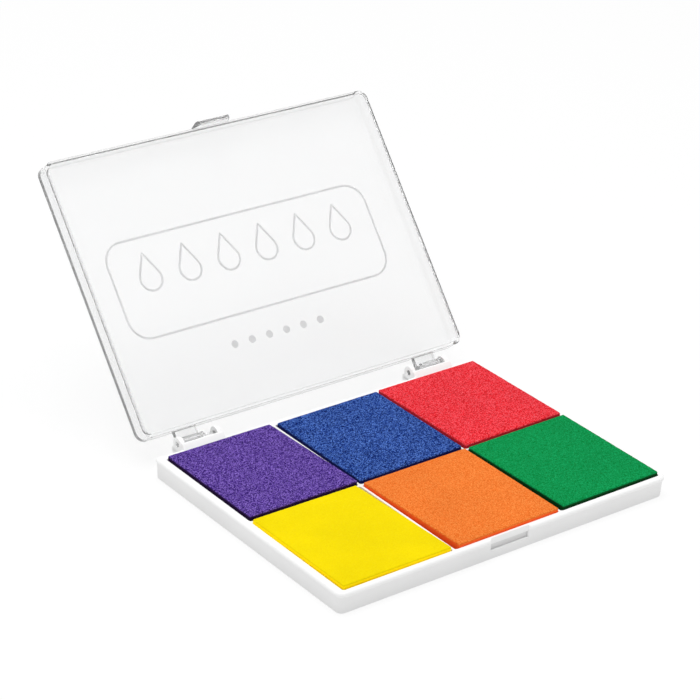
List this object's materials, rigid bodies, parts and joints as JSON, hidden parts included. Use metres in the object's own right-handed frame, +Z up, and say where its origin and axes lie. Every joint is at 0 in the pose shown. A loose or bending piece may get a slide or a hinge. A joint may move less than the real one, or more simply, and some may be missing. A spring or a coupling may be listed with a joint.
{
  "type": "ink pad",
  "caption": "Shallow white tray of coloured foam ink pads with a clear lid hinged at the back and a thumb tab at the front.",
  "frame": {"origin": "middle of the tray's flat underside, on the surface it stands on", "axes": "+X along the width, -Y towards the front with the thumb notch, +Y towards the hinge, +Z up"},
  "size_m": [0.16, 0.2082, 0.1073],
  "materials": {
    "tray_plastic": "white moulded polypropylene with a soft satin gloss",
    "clear_plastic": "clear moulded polystyrene, polished",
    "print_ink": "pale grey screen-printed ink",
    "adhesive": "double-sided adhesive film",
    "foam_yellow": "fine open-cell foam soaked with yellow ink, slightly moist",
    "foam_orange": "fine open-cell foam soaked with orange ink, slightly moist",
    "foam_green": "fine open-cell foam soaked with green ink, slightly moist",
    "foam_purple": "fine open-cell foam soaked with purple ink, slightly moist",
    "foam_blue": "fine open-cell foam soaked with blue ink, slightly moist",
    "foam_red": "fine open-cell foam soaked with red ink, slightly moist"
  },
  "bodies": {
    "base": {"tray": "tray_plastic", "pad_yellow": "foam_yellow", "pad_orange": "foam_orange", "pad_green": "foam_green", "pad_purple": "foam_purple", "pad_blue": "foam_blue", "pad_red": "foam_red", "tape_yellow": "adhesive", "tape_orange": "adhesive", "tape_green": "adhesive", "tape_purple": "adhesive", "tape_blue": "adhesive", "tape_red": "adhesive"},
    "lid": {"lid": "clear_plastic", "lid_print": "print_ink"}
  },
  "joints": [
    {"name": "lid_hinge", "type": "hinge", "parent": "base", "child": "lid", "pos_m": [0, 0.0633, 0.0098], "axis": [1, 0, 0], "range_deg": [0, 130.2]}
  ]
}
